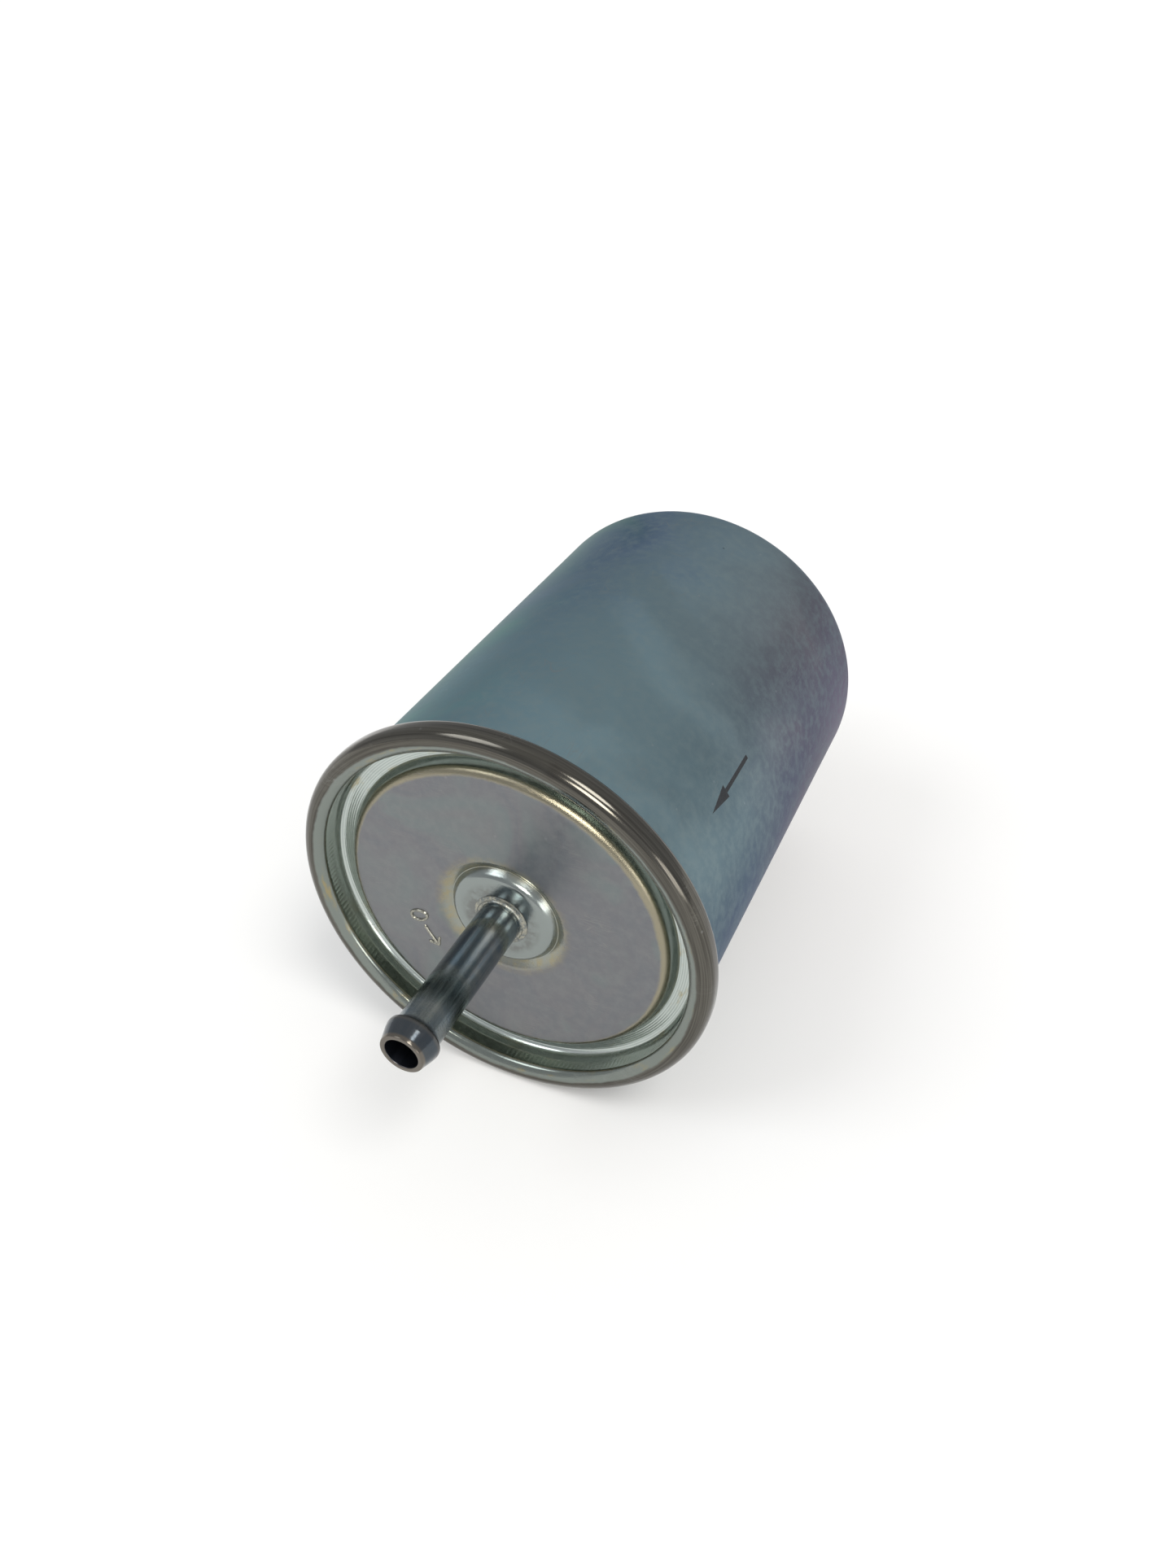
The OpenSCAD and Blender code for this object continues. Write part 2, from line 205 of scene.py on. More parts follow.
class Wire:
    # short calls for one node tree: each returns the output socket it made
    def __init__(self, tree):
        self.tree = tree

    def link(self, source, target):
        if isinstance(source, bpy.types.NodeSocket):
            self.tree.links.new(source, target)
        else:
            target.default_value = source

    def math(self, op, a, b=0.0, c=0.0):
        n = self.tree.nodes.new("ShaderNodeMath")
        n.operation = op
        for k, v in enumerate((a, b, c)):
            self.link(v, n.inputs[k])
        return n.outputs[0]

    def ramp(self, value, low, high, start=0.0, end=1.0):
        n = self.tree.nodes.new("ShaderNodeMapRange")
        n.interpolation_type = "SMOOTHSTEP"
        for k, v in enumerate((value, low, high, start, end)):
            self.link(v, n.inputs[k])
        return n.outputs[0]

    def mix(self, amount, a, b, blend="MIX"):
        n = self.tree.nodes.new("ShaderNodeMix")
        n.data_type, n.blend_type = "RGBA", blend
        for k, v in zip((0, 6, 7), (amount, a, b)):
            if isinstance(v, tuple) and len(v) == 3:
                v = (*v, 1)
            self.link(v, n.inputs[k])
        return n.outputs[2]

    def noise(self, vector, scale, detail=4.0, rough=0.55, distortion=0.0, dims="3D"):
        n = self.tree.nodes.new("ShaderNodeTexNoise")
        n.noise_dimensions = dims
        self.link(vector, n.inputs["Vector"])
        n.inputs["Scale"].default_value = scale
        n.inputs["Detail"].default_value = detail
        n.inputs["Roughness"].default_value = rough
        n.inputs["Distortion"].default_value = distortion
        return n.outputs[0]

    def voronoi(self, vector, scale, feature="F1"):
        n = self.tree.nodes.new("ShaderNodeTexVoronoi")
        n.feature = feature
        self.link(vector, n.inputs["Vector"])
        n.inputs["Scale"].default_value = scale
        return n.outputs["Distance"]

    def combine(self, x, y, z):
        n = self.tree.nodes.new("ShaderNodeCombineXYZ")
        for k, v in enumerate((x, y, z)):
            self.link(v, n.inputs[k])
        return n.outputs[0]

    def around(self, at, fineness, second):
        # a point on a circle, so that a pattern closes on itself round the axis
        return self.combine(self.math("MULTIPLY", at["Cosine"], fineness), second,
                            self.math("MULTIPLY", at["Sine"], fineness))

    def stops(self, value, colours, interpolation="B_SPLINE"):
        n = self.tree.nodes.new("ShaderNodeValToRGB")
        ramp = n.color_ramp
        ramp.interpolation = interpolation
        while len(ramp.elements) < len(colours):
            ramp.elements.new(0.5)
        for element, (at, colour) in zip(ramp.elements, colours):
            element.position, element.color = at, (*colour, 1)
        self.link(value, n.inputs[0])
        return n.outputs[0]

    def bump(self, height, distance, strength=1.0, normal=None):
        n = self.tree.nodes.new("ShaderNodeBump")
        n.inputs["Distance"].default_value = distance
        n.inputs["Strength"].default_value = strength
        self.link(height, n.inputs["Height"])
        if normal is not None:
            self.link(normal, n.inputs["Normal"])
        return n.outputs[0]

    def group(self, tree, **inputs):
        n = self.tree.nodes.new("ShaderNodeGroup")
        n.node_tree = tree
        for label, v in inputs.items():
            self.link(v, n.inputs[label])
        return n.outputs


def makeAxisGroup():
    # position in mm, radius from the axis, height towards the outlet, and angle as 0 to 1 of a turn
    g, gi, go = newGroup("axisCoordinates", [("Vector", "NodeSocketVector", None)],
                         [("Position", "NodeSocketVector"), ("Radius", "NodeSocketFloat"),
                          ("Height", "NodeSocketFloat"), ("Turn", "NodeSocketFloat"),
                          ("Ring", "NodeSocketVector"), ("Cosine", "NodeSocketFloat"), ("Sine", "NodeSocketFloat")])
    w = Wire(g)
    scale = g.nodes.new("ShaderNodeVectorMath")
    scale.operation = "SCALE"
    scale.inputs["Scale"].default_value = 1000
    g.links.new(gi.outputs["Vector"], scale.inputs[0])
    split = g.nodes.new("ShaderNodeSeparateXYZ")
    g.links.new(scale.outputs[0], split.inputs[0])
    x, y, z = split.outputs
    radius = w.math("SQRT", w.math("ADD", w.math("MULTIPLY", x, x), w.math("MULTIPLY", z, z)))
    height = w.math("MULTIPLY", y, -1.0)
    angle = w.math("ARCTAN2", z, x)
    turn = w.math("ADD", w.math("DIVIDE", angle, 2 * math.pi), 0.5)
    # streaks that run round the axis: noise space is stretched along the circle
    unitX, unitZ = w.math("COSINE", angle), w.math("SINE", angle)
    ring = w.combine(w.math("ADD", unitX, w.math("MULTIPLY", radius, 2.0)), w.math("MULTIPLY", height, 2.0), unitZ)
    for label, v in (("Position", scale.outputs[0]), ("Radius", radius), ("Height", height), ("Turn", turn),
                     ("Ring", ring), ("Cosine", unitX), ("Sine", unitZ)):
        g.links.new(v, go.inputs[label])
    return g


def makeBloomGroup():
    # cloudy passivation: soft patches, fine mottle and pale specks
    g, gi, go = newGroup("platingBloom",
                         [("Position", "NodeSocketVector", None), ("Patch", "NodeSocketFloat", 0.04),
                          ("Seed", "NodeSocketFloat", 0.0)],
                         [("Cloud", "NodeSocketFloat"), ("Mottle", "NodeSocketFloat"), ("Speck", "NodeSocketFloat")])
    w = Wire(g)
    move = g.nodes.new("ShaderNodeVectorMath")
    move.operation = "ADD"
    g.links.new(gi.outputs["Position"], move.inputs[0])
    g.links.new(w.combine(gi.outputs["Seed"], gi.outputs["Seed"], gi.outputs["Seed"]), move.inputs[1])
    patch = g.nodes.new("ShaderNodeTexNoise")
    g.links.new(move.outputs[0], patch.inputs["Vector"])
    g.links.new(gi.outputs["Patch"], patch.inputs["Scale"])
    patch.inputs["Detail"].default_value = 3
    patch.inputs["Distortion"].default_value = 0.6
    mottle = w.noise(move.outputs[0], 0.55, 5, 0.65)
    cell = w.voronoi(move.outputs[0], 0.16)
    speck = w.ramp(cell, 0.055, 0.02)
    g.links.new(patch.outputs[0], go.inputs["Cloud"])
    g.links.new(mottle, go.inputs["Mottle"])
    g.links.new(speck, go.inputs["Speck"])
    return g


def makeScratchGroup():
    # fine straight scratches in two directions, kept to scattered patches
    g, gi, go = newGroup("handlingScratches",
                         [("Position", "NodeSocketVector", None), ("Amount", "NodeSocketFloat", 0.5)],
                         [("Mask", "NodeSocketFloat")])
    w = Wire(g)
    total = None
    for turn, stretch, seed in ((0.5, 26, 3.1), (-0.9, 34, 8.7), (1.7, 20, 14.2)):
        m = g.nodes.new("ShaderNodeMapping")
        m.inputs["Location"].default_value = (seed, seed * 2, -seed)
        m.inputs["Rotation"].default_value = (turn, turn * 0.7, turn * 1.3)
        m.inputs["Scale"].default_value = (1.0, 1.0, stretch)
        g.links.new(gi.outputs["Position"], m.inputs["Vector"])
        line = w.voronoi(m.outputs[0], 0.06, "DISTANCE_TO_EDGE")
        thin = w.ramp(line, 0.012, 0.0)
        total = thin if total is None else w.math("MAXIMUM", total, thin)
    where = w.ramp(w.noise(gi.outputs["Position"], 0.11, 2), 0.5, 0.68)
    mask = w.math("MULTIPLY", w.math("MULTIPLY", total, where), gi.outputs["Amount"])
    g.links.new(mask, go.inputs["Mask"])
    return g


axisGroup, bloomGroup, scratchGroup = makeAxisGroup(), makeBloomGroup(), makeScratchGroup()


def newMaterial(name):
    m = bpy.data.materials.new(name)
    m.use_nodes = True
    tree = m.node_tree
    shader = tree.nodes["Principled BSDF"]
    coords = tree.nodes.new("ShaderNodeTexCoord")
    w = Wire(tree)
    return m, w, shader, coords.outputs["Object"]


def setShader(shader, **values):
    for label, v in values.items():
        shader.inputs[label.replace("_", " ")].default_value = v


arrow = {"angle": 33.2, "tip": 28.4, "length": 18.0, "head": 7.0, "headWidth": 2.5, "shaft": 0.85}


def makeCanMaterial():
    m, w, s, obj = newMaterial("zincCan")
    at = w.group(axisGroup, Vector=obj)
    bloom = w.group(bloomGroup, Position=at["Position"], Patch=0.035, Seed=4.0)
    # the passivation's colour drifts round the can, pushed about by slow clouds
    drift = w.math("MULTIPLY_ADD", w.math("SUBTRACT", bloom["Cloud"], 0.5), 0.16, at["Turn"])
    mouth = w.stops(drift, [(0.0, (0.14, 0.19, 0.22)), (0.30, (0.14, 0.19, 0.21)), (0.44, (0.09, 0.10, 0.155)),
                            (0.49, (0.07, 0.105, 0.19)), (0.535, (0.09, 0.13, 0.18)), (0.58, (0.135, 0.19, 0.215)),
                            (0.64, (0.22, 0.315, 0.345)), (0.74, (0.235, 0.35, 0.39)), (0.80, (0.18, 0.285, 0.33)),
                            (0.855, (0.13, 0.32, 0.24)), (0.90, (0.13, 0.24, 0.22)), (1.0, (0.14, 0.19, 0.22))])
    far = w.stops(drift, [(0.0, (0.13, 0.17, 0.21)), (0.30, (0.13, 0.17, 0.2)), (0.44, (0.17, 0.075, 0.125)),
                          (0.50, (0.115, 0.05, 0.10)), (0.54, (0.095, 0.065, 0.11)), (0.59, (0.17, 0.125, 0.155)),
                          (0.65, (0.22, 0.25, 0.265)), (0.73, (0.225, 0.325, 0.36)), (0.79, (0.145, 0.20, 0.29)),
                          (0.835, (0.09, 0.16, 0.21)), (0.87, (0.09, 0.22, 0.17)), (0.92, (0.13, 0.21, 0.20)),
                          (1.0, (0.13, 0.17, 0.21))])
    colour = w.mix(w.ramp(at["Height"], 28.0, -30.0), mouth, far)
    magenta = w.math("MULTIPLY", w.ramp(at["Height"], -20.0, -42.0),
                     w.math("MULTIPLY", w.ramp(drift, 0.44, 0.49), w.ramp(drift, 0.56, 0.51)))
    colour = w.mix(w.math("MULTIPLY", magenta, 0.5), colour, (0.21, 0.11, 0.19))
    colour = w.mix(w.ramp(bloom["Mottle"], 0.35, 0.7, 0.0, 0.42), colour, (0.27, 0.34, 0.345))
    colour = w.mix(w.ramp(bloom["Cloud"], 0.6, 0.42, 0.0, 0.3), colour, (0.13, 0.19, 0.21))
    scratch = w.group(scratchGroup, Position=at["Position"], Amount=0.5)["Mask"]
    colour = w.mix(scratch, colour, (0.25, 0.28, 0.28))
    colour = w.mix(w.math("MULTIPLY", bloom["Speck"], 0.4), colour, (0.32, 0.36, 0.37))
    # dark nicks
    nick = w.ramp(w.voronoi(at["Position"], 0.075), 0.022, 0.012)
    colour = w.mix(w.math("MULTIPLY", nick, 0.55), colour, (0.05, 0.06, 0.07))
    # printed flow arrow: a narrow head and a thin shaft, on the upper side near the seam
    across = w.math("MULTIPLY", w.math("SUBTRACT", at["Turn"], 0.5 + arrow["angle"] / 360), 2 * math.pi * 37.1)
    across = w.math("ABSOLUTE", across)
    behind = w.math("SUBTRACT", arrow["tip"], at["Height"])
    edge = w.math("MULTIPLY", w.math("SUBTRACT", w.noise(at["Position"], 3.2, 3), 0.5), 0.16)
    across = w.math("ADD", across, edge)
    inHead = w.math("MULTIPLY", w.ramp(behind, arrow["head"] + 0.05, arrow["head"] - 0.05),
                    w.ramp(w.math("SUBTRACT", across,
                                  w.math("MULTIPLY", behind, arrow["headWidth"] / arrow["head"] / 2)), 0.06, -0.06))
    inShaft = w.math("MULTIPLY", w.math("MULTIPLY", w.ramp(behind, arrow["head"] - 0.1, arrow["head"]),
                                        w.ramp(behind, arrow["length"] + 0.05, arrow["length"] - 0.05)),
                     w.ramp(across, arrow["shaft"] / 2 + 0.05, arrow["shaft"] / 2 - 0.05))
    ink = w.math("MAXIMUM", inHead, inShaft)
    ink = w.math("MULTIPLY", ink, w.ramp(at["Height"], 0, 1))
    worn = w.ramp(w.noise(at["Position"], 5.5, 4, 0.7), 0.3, 0.42, 0.7, 1.0)
    ink = w.math("MULTIPLY", ink, worn)
    colour = w.mix(ink, colour, (0.012, 0.013, 0.015))
    w.link(colour, s.inputs["Base Color"])
    w.link(w.math("SUBTRACT", 1.0, w.math("MULTIPLY", ink, 0.9)), s.inputs["Metallic"])
    rough = w.ramp(bloom["Mottle"], 0.2, 0.8, 0.34, 0.44)
    w.link(w.math("ADD", rough, w.math("MULTIPLY", ink, 0.15)), s.inputs["Roughness"])
    s.inputs["Specular Tint"].default_value = (0.56, 0.6, 0.66, 1)
    grain = w.noise(at["Position"], 2.4, 6, 0.7)
    drawn = w.noise(w.around(at, 65.0, w.math("MULTIPLY", at["Height"], 0.05)), 1.0, 3)
    height = w.math("ADD", w.math("MULTIPLY", grain, 0.5), w.math("MULTIPLY", drawn, 0.35))
    height = w.math("SUBTRACT", height, w.math("MULTIPLY", w.math("ADD", scratch, nick), 0.6))
    w.link(w.bump(height, 0.00002, 0.5), s.inputs["Normal"])
    return m


seamFinish = {
    "bare": (0.145, 0.138, 0.12),
    "bareDark": (0.075, 0.071, 0.062),
    "band": (0.215, 0.24, 0.22),
    "teeth": (0.33, 0.36, 0.325),
    "floor": (0.50, 0.545, 0.52),
    "wall": (0.32, 0.35, 0.33),
    "stain": (0.36, 0.29, 0.13),
    "boss": (0.27, 0.30, 0.29),
    "edge": (0.30, 0.275, 0.20),
}


def makeCoverMaterial():
    m, w, s, obj = newMaterial("zincCover")
    at = w.group(axisGroup, Vector=obj)
    r, h = at["Radius"], at["Height"]
    bloom = w.group(bloomGroup, Position=at["Position"], Patch=0.05, Seed=11.0)
    wob = w.math("MULTIPLY", w.math("SUBTRACT", w.noise(at["Position"], 0.35, 3), 0.5), 0.6)
    # zones from the axis outwards, each edge made a little uneven
    rr = w.math("ADD", r, wob)
    boss = w.ramp(rr, 13.0, 11.0)
    fillet = w.math("MULTIPLY", w.ramp(rr, 9.8, 10.9), w.ramp(rr, 13.9, 11.4))
    panelEdge = w.ramp(w.math("ADD", r, wob), 29.6, 30.3)
    wall = w.math("MULTIPLY", w.ramp(h, 46.0, 45.6), w.ramp(h, 43.9, 44.2))
    wall = w.math("MULTIPLY", wall, w.math("MULTIPLY", w.ramp(r, 30.2, 30.6), w.ramp(r, 33.0, 32.3)))
    floor = w.math("MULTIPLY", w.ramp(r, 31.9, 32.3), w.ramp(h, 45.3, 44.7))
    teeth = w.math("MULTIPLY", w.ramp(r, 35.0, 35.3), w.math("MULTIPLY", w.ramp(h, 44.4, 44.9), w.ramp(h, 48.7, 48.4)))
    slope = w.math("MULTIPLY", w.ramp(h, 48.5, 48.8), w.ramp(r, 35.0, 35.4))
    bare = w.math("MULTIPLY", w.ramp(rr, 37.1, 37.6), w.ramp(r, 36.8, 37.2))
    panelTint = w.stops(w.math("MULTIPLY_ADD", w.math("SUBTRACT", bloom["Cloud"], 0.5), 1.3, 0.5),
                        [(0.2, (0.18, 0.215, 0.215)), (0.4, (0.195, 0.185, 0.198)), (0.47, (0.165, 0.18, 0.195)),
                         (0.54, (0.19, 0.183, 0.196)), (0.64, (0.175, 0.215, 0.215)), (0.8, (0.20, 0.19, 0.20))])
    colour = w.mix(w.ramp(bloom["Mottle"], 0.35, 0.75, 0.0, 0.4), panelTint, (0.25, 0.26, 0.255))
    colour = w.mix(boss, colour, seamFinish["boss"])
    # a patchy darkening of the boss close to the tube
    nearTubeDarkening = w.math("MULTIPLY", w.ramp(rr, 8.2, 6.4),
                     w.ramp(w.noise(at["Position"], 0.5, 3, 0.6), 0.35, 0.65, 0.1, 0.6))
    colour = w.mix(nearTubeDarkening, colour, (0.14, 0.135, 0.13))
    colour = w.mix(w.math("MULTIPLY", fillet, w.ramp(bloom["Mottle"], 0.35, 0.7, 0.15, 0.6)),
                   colour, seamFinish["stain"])
    colour = w.mix(panelEdge, colour, seamFinish["edge"])
    colour = w.mix(wall, colour, seamFinish["wall"])
    colour = w.mix(floor, colour, seamFinish["floor"])
    colour = w.mix(teeth, colour, seamFinish["teeth"])
    colour = w.mix(slope, colour, seamFinish["band"])
    # yellow stains in the channel and under the crest
    stainNoise = w.noise(w.around(at, 4.2, w.math("MULTIPLY", w.math("ADD", r, h), 0.3)), 1.0, 4, 0.65)
    stain = w.math("MULTIPLY", w.ramp(stainNoise, 0.56, 0.72, 0.0, 0.75), w.math("MAXIMUM", floor, slope))
    colour = w.mix(stain, colour, seamFinish["stain"])
    # fine turned rings on the channel floor
    rings = w.math("SINE", w.math("MULTIPLY", r, 2 * math.pi / 0.42))
    colour = w.mix(w.math("MULTIPLY", w.math("MULTIPLY", floor, w.ramp(rings, 0.2, 0.9)), 0.6),
                   colour, (0.24, 0.30, 0.28))
    # the rolled seam is burnished bare, with streaks that run round it and dark smudges
    streak = w.noise(at["Ring"], 1.6, 5, 0.7)
    smudge = w.ramp(w.noise(w.around(at, 3.6, w.math("MULTIPLY", w.math("ADD", r, h), 0.45)), 1.0, 4, 0.6), 0.58, 0.75)
    bareColour = w.mix(w.ramp(streak, 0.35, 0.7), seamFinish["bareDark"], seamFinish["bare"])
    bareColour = w.mix(w.math("MULTIPLY", smudge, 0.45), bareColour, (0.05, 0.045, 0.04))
    colour = w.mix(bare, colour, bareColour)
    scratch = w.group(scratchGroup, Position=at["Position"], Amount=0.5)["Mask"]
    colour = w.mix(scratch, colour, (0.28, 0.28, 0.26))
    colour = w.mix(w.math("MULTIPLY", bloom["Speck"], 0.3), colour, (0.3, 0.3, 0.3))
    w.link(colour, s.inputs["Base Color"])
    s.inputs["Metallic"].default_value = 1.0
    # matte panel, brighter pressed rings, polished seam
    rough = w.ramp(bloom["Mottle"], 0.3, 0.75, 0.28, 0.38)
    shiny = w.math("MAXIMUM", w.math("MAXIMUM", wall, slope), w.math("MAXIMUM", boss, teeth))
    shiny = w.math("MAXIMUM", shiny, panelEdge)
    rough = w.math("SUBTRACT", rough, w.math("MULTIPLY", shiny, 0.15))
    rough = w.math("SUBTRACT", rough, w.math("MULTIPLY", bare, 0.14))
    w.link(w.math("MAXIMUM", rough, 0.13), s.inputs["Roughness"])
    grit = w.noise(at["Position"], 3.4, 6, 0.75)
    worked = w.math("MAXIMUM", w.math("MAXIMUM", bare, teeth), w.math("MAXIMUM", wall, floor))
    fine = w.math("MULTIPLY", grit, w.math("SUBTRACT", 1.0, w.math("MULTIPLY", worked, 0.9)))
    peel = w.math("MULTIPLY", w.math("MULTIPLY", panelEdge, w.ramp(r, 31.6, 31.0)),
                  w.noise(at["Position"], 4.5, 5, 0.8))
    height = w.math("ADD", fine, w.math("MULTIPLY", peel, 1.8))
    height = w.math("ADD", height, w.math("MULTIPLY", w.math("MULTIPLY", bare, streak), 0.45))
    height = w.math("ADD", height, w.math("MULTIPLY", w.math("MULTIPLY", floor, rings), 0.35))
    # a faint pressed loop on the panel
    split = w.tree.nodes.new("ShaderNodeSeparateXYZ")
    w.link(at["Position"], split.inputs[0])
    u = w.math("DIVIDE", w.math("ADD", split.outputs[0], 24.6), 3.9)
    v = w.math("DIVIDE", w.math("SUBTRACT", split.outputs[2], 0.9), 1.9)
    loop = w.math("SQRT", w.math("ADD", w.math("MULTIPLY", u, u), w.math("MULTIPLY", v, v)))
    loop = w.math("MULTIPLY", w.ramp(w.math("ABSOLUTE", w.math("SUBTRACT", loop, 1.0)), 0.16, 0.0),
                  w.ramp(r, 30.0, 29.0))
    height = w.math("ADD", height, w.math("MULTIPLY", loop, 1.1))
    height = w.math("SUBTRACT", height, w.math("MULTIPLY", scratch, 0.7))
    w.link(w.bump(height, 0.000025, 0.5), s.inputs["Normal"])
    return m


tubeFinish = {"plate": (0.26, 0.285, 0.285), "plateBlue": (0.17, 0.215, 0.25), "bead": (0.05, 0.058, 0.068),
              "worn": (0.17, 0.15, 0.125)}


def makeTubeMaterial():
    m, w, s, obj = newMaterial("darkZincTube")
    at = w.group(axisGroup, Vector=obj)
    away = w.math("ABSOLUTE", at["Height"])
    bloom = w.group(bloomGroup, Position=at["Position"], Patch=0.2, Seed=2.0)
    colour = w.mix(w.ramp(bloom["Cloud"], 0.35, 0.65), tubeFinish["plate"], tubeFinish["plateBlue"])
    # drawing lines that run along the tube
    lines = w.noise(w.around(at, 10.0, w.math("MULTIPLY", at["Height"], 0.06)), 1.0, 5, 0.7)
    colour = w.mix(w.ramp(lines, 0.45, 0.7, 0.0, 0.5), colour, (0.34, 0.36, 0.36))
    sparkle = w.ramp(w.noise(at["Position"], 6.0, 5, 0.8), 0.6, 0.72)
    nearBead = w.ramp(away, 66.0, 74.0)
    colour = w.mix(w.math("MULTIPLY", sparkle, w.math("MULTIPLY", nearBead, 0.6)), colour, (0.42, 0.42, 0.38))
    colour = w.mix(w.ramp(away, 75.3, 76.0, 0.0, 0.85), colour, tubeFinish["bead"])
    # the plating is rubbed through at the tip's lip and on the bead's crest
    lip = w.math("MULTIPLY", w.ramp(away, 79.55, 79.95), w.ramp(at["Radius"], 2.8, 3.1))
    lip = w.math("MAXIMUM", lip, w.math("MULTIPLY", w.ramp(at["Radius"], 4.68, 4.8),
                                        w.ramp(sparkle, 0.0, 1.0, 0.4, 0.9)))
    colour = w.mix(w.math("MULTIPLY", lip, 0.85), colour, tubeFinish["worn"])
    # painted shade: inside the bore the colour is darkened nearly to black; the bore is also made rougher
    boreShadeZone = w.ramp(at["Radius"], 3.1, 2.99)
    colour = w.mix(boreShadeZone, colour, (0.035, 0.04, 0.055))
    w.link(colour, s.inputs["Base Color"])
    s.inputs["Metallic"].default_value = 1.0
    rough = w.ramp(lines, 0.3, 0.75, 0.10, 0.2)
    w.link(w.math("ADD", rough, w.math("MULTIPLY", boreShadeZone, 0.25)), s.inputs["Roughness"])
    height = w.math("ADD", w.math("MULTIPLY", lines, 0.6),
                    w.math("MULTIPLY", w.noise(at["Position"], 3.0, 5, 0.7), 0.6))
    w.link(w.bump(height, 0.00002, 0.55), s.inputs["Normal"])
    return m


def makeBrazeMaterial():
    m, w, s, obj = newMaterial("brazeFillet")
    at = w.group(axisGroup, Vector=obj)
    puddle = w.noise(at["Position"], 1.4, 4, 0.6)
    w.link(w.mix(w.ramp(puddle, 0.35, 0.65), (0.36, 0.35, 0.29), (0.17, 0.19, 0.19)), s.inputs["Base Color"])
    s.inputs["Metallic"].default_value = 1.0
    w.link(w.ramp(puddle, 0.3, 0.7, 0.2, 0.34), s.inputs["Roughness"])
    w.link(w.bump(puddle, 0.00012, 0.8), s.inputs["Normal"])
    return m


def makePlainMetal(name, bright, dark, scale, rough, grainTurn=True):
    m, w, s, obj = newMaterial(name)
    at = w.group(axisGroup, Vector=obj)
    streak = w.noise(at["Ring"] if grainTurn else at["Position"], scale, 5, 0.65)
    spangle = w.noise(at["Position"], 0.8, 3)
    colour = w.mix(w.ramp(streak, 0.3, 0.7), dark, bright)
    w.link(w.mix(w.ramp(spangle, 0.55, 0.75, 0.0, 0.3), colour, dark), s.inputs["Base Color"])
    s.inputs["Metallic"].default_value = 1.0
    w.link(w.ramp(streak, 0.25, 0.75, rough, rough + 0.14), s.inputs["Roughness"])
    w.link(w.bump(streak, 0.00002, 0.5), s.inputs["Normal"])
    return m


def makeSoftMaterial(name, light, dark, scale, rough, relief):
    # paper, rubber, plastisol and plastic: two close colours, a fine surface and no metal
    m, w, s, obj = newMaterial(name)
    at = w.group(axisGroup, Vector=obj)
    fibre = w.noise(at["Position"], scale, 6, 0.7)
    cloud = w.noise(at["Position"], scale * 0.08, 3)
    colour = w.mix(w.ramp(fibre, 0.3, 0.7), dark, light)
    w.link(w.mix(w.ramp(cloud, 0.4, 0.7, 0.0, 0.35), colour, dark), s.inputs["Base Color"])
    w.link(w.ramp(fibre, 0.2, 0.8, rough, min(1.0, rough + 0.15)), s.inputs["Roughness"])
    w.link(w.bump(fibre, relief, 0.7), s.inputs["Normal"])
    return m


def makeMediaMaterial():
    m, w, s, obj = newMaterial("filterPaper")
    at = w.group(axisGroup, Vector=obj)
    fibre = w.noise(at["Position"], 3.0, 6, 0.75)
    grooves = w.math("SINE", w.math("MULTIPLY", at["Height"], 2 * math.pi / 2.6))
    colour = w.mix(w.ramp(fibre, 0.3, 0.7), (0.60, 0.46, 0.24), (0.78, 0.66, 0.42))
    folds = w.ramp(at["Radius"], 29.6, 30.6)
    w.link(w.mix(w.math("MULTIPLY", folds, 0.35), colour, (0.46, 0.33, 0.16)), s.inputs["Base Color"])
    w.link(w.ramp(fibre, 0.2, 0.8, 0.75, 0.9), s.inputs["Roughness"])
    w.link(w.bump(w.math("ADD", fibre, w.math("MULTIPLY", grooves, 0.6)), 0.00008, 0.7), s.inputs["Normal"])
    return m


canMaterial, coverMaterial = makeCanMaterial(), makeCoverMaterial()
tubeMaterial, brazeMaterial = makeTubeMaterial(), makeBrazeMaterial()
innerFinishes = {
    "outlet_end_cap": makePlainMetal("tinnedCap", (0.62, 0.62, 0.58), (0.42, 0.43, 0.41), 1.2, 0.28),
    "centre_tube": makePlainMetal("perforatedSteel", (0.55, 0.56, 0.54), (0.36, 0.37, 0.36), 1.6, 0.32),
    "element_spring": makePlainMetal("springWire", (0.50, 0.50, 0.48), (0.26, 0.26, 0.26), 3.0, 0.26, False),
    "seal_retainer": makePlainMetal("retainerSteel", (0.58, 0.58, 0.55), (0.40, 0.40, 0.38), 2.0, 0.3),
    "outlet_potting": makeSoftMaterial("plastisol", (0.62, 0.20, 0.08), (0.48, 0.13, 0.05), 0.9, 0.5, 0.0001),
    "pleated_media": makeMediaMaterial(),
    "pleat_bands": makeSoftMaterial("bandPaper", (0.78, 0.74, 0.62), (0.62, 0.56, 0.42), 2.5, 0.8, 0.00006),
    "outlet_seal": makeSoftMaterial("nitrileRubber", (0.030, 0.030, 0.032), (0.014, 0.014, 0.015), 4.0, 0.55, 0.00003),
    "element_guide": makeSoftMaterial("naturalAcetal", (0.80, 0.79, 0.72), (0.70, 0.68, 0.60), 1.5, 0.38, 0.00002),
    "seam_compound": makeSoftMaterial("seamingCompound", (0.05, 0.05, 0.048), (0.02, 0.02, 0.02), 3.0, 0.6, 0.00004),
}
sameFinish = {"inlet_end_cap": "outlet_end_cap", "inlet_diffuser": "centre_tube", "spring_seat": "seal_retainer",
              "inlet_potting": "outlet_potting"}
for name, source in sameFinish.items():
    innerFinishes[name] = innerFinishes[source]
for name, material in innerFinishes.items():
    for slot in nodes[name].material_slots:
        slot.material = material
print("materials ready")


neck = {"radius": 4.4, "bend": 1.3}

